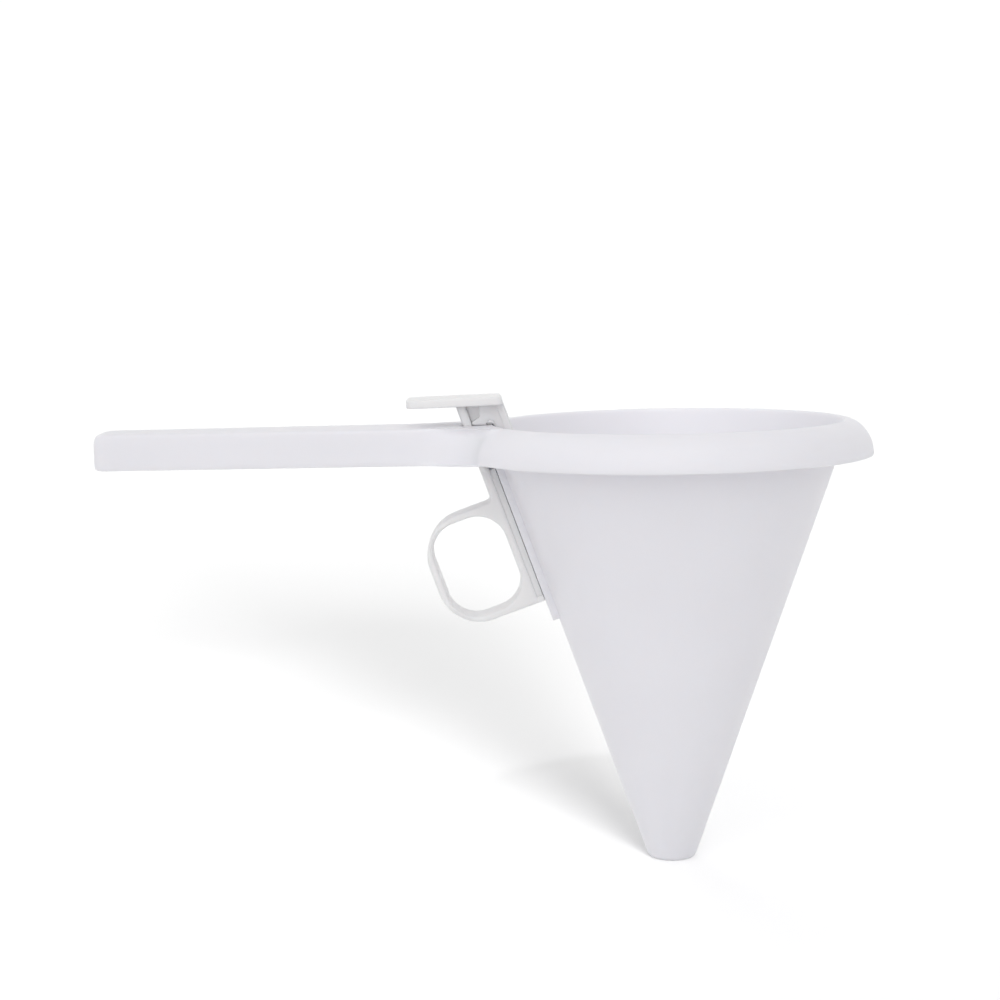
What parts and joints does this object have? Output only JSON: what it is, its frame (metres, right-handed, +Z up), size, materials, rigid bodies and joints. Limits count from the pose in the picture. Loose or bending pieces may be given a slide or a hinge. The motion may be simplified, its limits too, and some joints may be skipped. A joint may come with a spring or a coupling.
{
  "type": "pancake batter dispenser",
  "caption": "Conical hand funnel with a curled rim, a hollow side handle and a slider, moved by a finger ring and a thumb tab, that lifts a stopper off the outlet.",
  "frame": {"origin": "centre of the outlet's mouth, at the cone's tip", "axes": "+Z up the cone's axis, the handle points along -X, and the part is symmetric about the XZ plane"},
  "size_m": [0.2071, 0.1088, 0.127],
  "materials": {
    "funnel_plastic": "satin white polypropylene",
    "slider_plastic": "satin white polypropylene, slightly warmer"
  },
  "bodies": {
    "funnel": {"funnel_cone": "funnel_plastic", "rim_lip": "funnel_plastic", "handle": "funnel_plastic", "slide_guide": "funnel_plastic"},
    "slider": {"ring_slide": "slider_plastic", "thumb_tab": "slider_plastic", "stopper_blade": "slider_plastic", "stopper_plug": "slider_plastic"}
  },
  "joints": [
    {"name": "stopper_slide", "type": "slide", "parent": "funnel", "child": "slider", "axis": [-0.3338, 0, 0.9426], "range_m": [0, 0.0065]}
  ]
}
